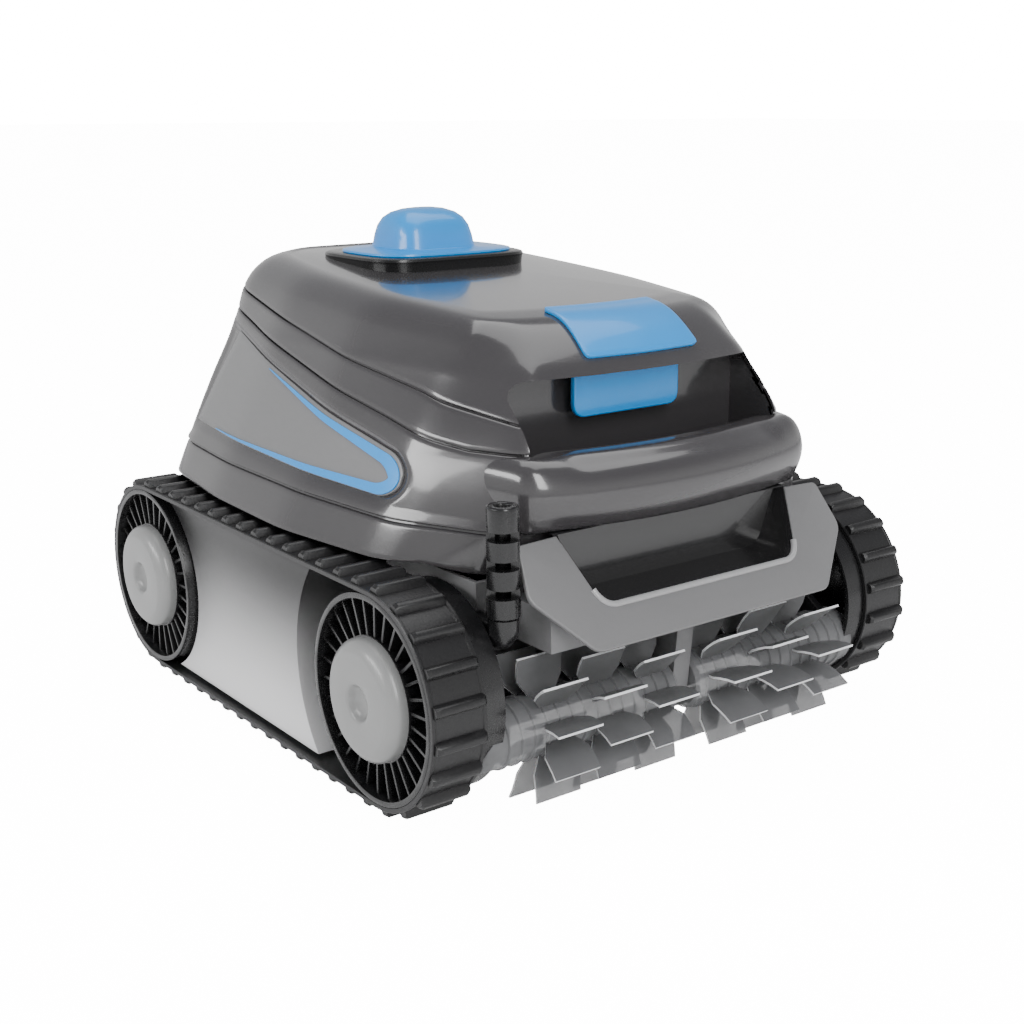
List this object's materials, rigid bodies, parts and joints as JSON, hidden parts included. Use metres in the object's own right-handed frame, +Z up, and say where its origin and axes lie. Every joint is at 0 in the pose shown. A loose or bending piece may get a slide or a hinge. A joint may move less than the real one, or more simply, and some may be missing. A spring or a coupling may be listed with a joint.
{
  "type": "robotic pool cleaner",
  "caption": "Tracked robotic pool cleaner with a front roller brush, hinged lid over a filter canister, hand bar, pump outlet cowl and cable gland.",
  "frame": {"origin": "on the floor under the middle of the machine", "axes": "-Y is the front with the brush and hand bar, +X its right-hand side seen from behind, +Z up"},
  "size_m": [0.365, 0.4192, 0.298],
  "materials": {
    "body_plastic": "moulded, glossy dark warm grey",
    "satin_grey": "satin mid grey paint on plastic",
    "blue_plastic": "glossy blue",
    "cap_grey": "satin light grey",
    "black_plastic": "black moulded plastic",
    "chassis_grey": "grey moulded plastic",
    "belt_rubber": "black moulded rubber",
    "soft_lamella": "translucent grey soft plastic",
    "seal_rubber": "black seal rubber",
    "steel": "stainless steel",
    "motor_metal": "plated steel can",
    "board_green": "circuit board",
    "filter_mesh": "fine woven polyester mesh",
    "foam": "closed-cell foam"
  },
  "bodies": {
    "root": {"accent_strip_left": "blue_plastic", "accent_strip_right": "blue_plastic", "axle_screws": "steel", "brush_centre_bearing": "chassis_grey", "cable_elbow": "black_plastic", "cable_gland": "black_plastic", "canister_cover": "chassis_grey", "canister_frame": "chassis_grey", "canister_mesh": "filter_mesh", "case_screws": "steel", "chassis": "chassis_grey", "control_board": "board_green", "deck_frame": "chassis_grey", "drive_motor_left": "motor_metal", "drive_motor_right": "motor_metal", "fascia": "satin_grey", "flap_pin": "steel", "foam_floats": "foam", "hull": "body_plastic", "inlet_seal": "seal_rubber", "inlet_throat": "chassis_grey", "lid_hinge_pin": "steel", "middle_band": "body_plastic", "motor_block_cover": "black_plastic", "motor_block_housing": "black_plastic", "motor_block_seal": "seal_rubber", "pump_duct": "black_plastic", "pump_motor": "motor_metal", "scoop_liner": "black_plastic", "shaft_seals": "seal_rubber", "side_inlay_left": "satin_grey", "side_inlay_right": "satin_grey", "side_panel_left": "satin_grey", "side_panel_right": "satin_grey", "track_belt_left": "belt_rubber", "track_belt_right": "belt_rubber", "track_frame_left": "black_plastic", "track_frame_right": "black_plastic", "wheel_axles": "steel"},
    "front_wheel_left": {"front_wheel_left": "black_plastic", "front_hub_cap_left": "cap_grey"},
    "front_wheel_right": {"front_wheel_right": "black_plastic", "front_hub_cap_right": "cap_grey"},
    "rear_wheel_left": {"rear_wheel_left": "black_plastic", "rear_hub_cap_left": "cap_grey"},
    "rear_wheel_right": {"rear_wheel_right": "black_plastic", "rear_hub_cap_right": "cap_grey"},
    "brush_left": {"roller_brush_left": "soft_lamella"},
    "brush_right": {"roller_brush_right": "soft_lamella"},
    "drive_pinion_left": {"drive_pinion_left": "black_plastic"},
    "drive_pinion_right": {"drive_pinion_right": "black_plastic"},
    "impeller": {"impeller": "black_plastic"},
    "lid": {"lid_shell": "body_plastic", "outlet_collar": "black_plastic", "outlet_cowl": "blue_plastic", "outlet_grille": "black_plastic", "latch_plate": "blue_plastic", "latch_pin": "steel"},
    "latch_tab": {"latch_tab": "blue_plastic"},
    "inlet_flap": {"inlet_flap": "seal_rubber"}
  },
  "joints": [
    {"name": "rear_wheel_left_spin", "type": "hinge", "parent": "root", "child": "rear_wheel_left", "pos_m": [-0.152, 0.1455, 0.064], "axis": [1, 0, 0], "continuous": true},
    {"name": "front_wheel_left_spin", "type": "hinge", "parent": "root", "child": "front_wheel_left", "pos_m": [-0.152, -0.1295, 0.064], "axis": [1, 0, 0], "continuous": true},
    {"name": "brush_left_spin", "type": "hinge", "parent": "root", "child": "brush_left", "pos_m": [-0.06, -0.16731, 0.0431], "axis": [1, 0, 0], "continuous": true},
    {"name": "drive_pinion_left_spin", "type": "hinge", "parent": "root", "child": "drive_pinion_left", "pos_m": [-0.12, 0.10775, 0.085], "axis": [1, 0, 0], "continuous": true},
    {"name": "rear_wheel_right_spin", "type": "hinge", "parent": "root", "child": "rear_wheel_right", "pos_m": [0.152, 0.1455, 0.064], "axis": [1, 0, 0], "continuous": true},
    {"name": "front_wheel_right_spin", "type": "hinge", "parent": "root", "child": "front_wheel_right", "pos_m": [0.152, -0.1295, 0.064], "axis": [1, 0, 0], "continuous": true},
    {"name": "brush_right_spin", "type": "hinge", "parent": "root", "child": "brush_right", "pos_m": [0.06, -0.16731, 0.0431], "axis": [1, 0, 0], "continuous": true},
    {"name": "drive_pinion_right_spin", "type": "hinge", "parent": "root", "child": "drive_pinion_right", "pos_m": [0.12, 0.10775, 0.085], "axis": [1, 0, 0], "continuous": true},
    {"name": "impeller_spin", "type": "hinge", "parent": "root", "child": "impeller", "pos_m": [0, 0.077, 0.2], "axis": [0, 0, 1], "continuous": true},
    {"name": "lid_hinge", "type": "hinge", "parent": "root", "child": "lid", "pos_m": [0, 0.18, 0.256], "axis": [-1, 0, 0], "range_deg": [0, 75]},
    {"name": "latch_tab_hinge", "type": "hinge", "parent": "lid", "child": "latch_tab", "pos_m": [0, -0.1267, 0.219], "axis": [-1, 0, 0], "range_deg": [0, 22], "stiffness_Nm_per_rad": 0.05, "springref_deg": -2.86},
    {"name": "inlet_flap_hinge", "type": "hinge", "parent": "root", "child": "inlet_flap", "pos_m": [0, -0.084, 0.0665], "axis": [1, 0, 0], "range_deg": [0, 62]}
  ],
  "couplings": [
    {"joint": "front_wheel_left_spin", "follows": "rear_wheel_left_spin", "ratio": 1},
    {"joint": "brush_left_spin", "follows": "rear_wheel_left_spin", "ratio": 6.2727},
    {"joint": "drive_pinion_left_spin", "follows": "rear_wheel_left_spin", "ratio": 6.2727},
    {"joint": "front_wheel_right_spin", "follows": "rear_wheel_right_spin", "ratio": 1},
    {"joint": "brush_right_spin", "follows": "rear_wheel_right_spin", "ratio": 6.2727},
    {"joint": "drive_pinion_right_spin", "follows": "rear_wheel_right_spin", "ratio": 6.2727}
  ]
}
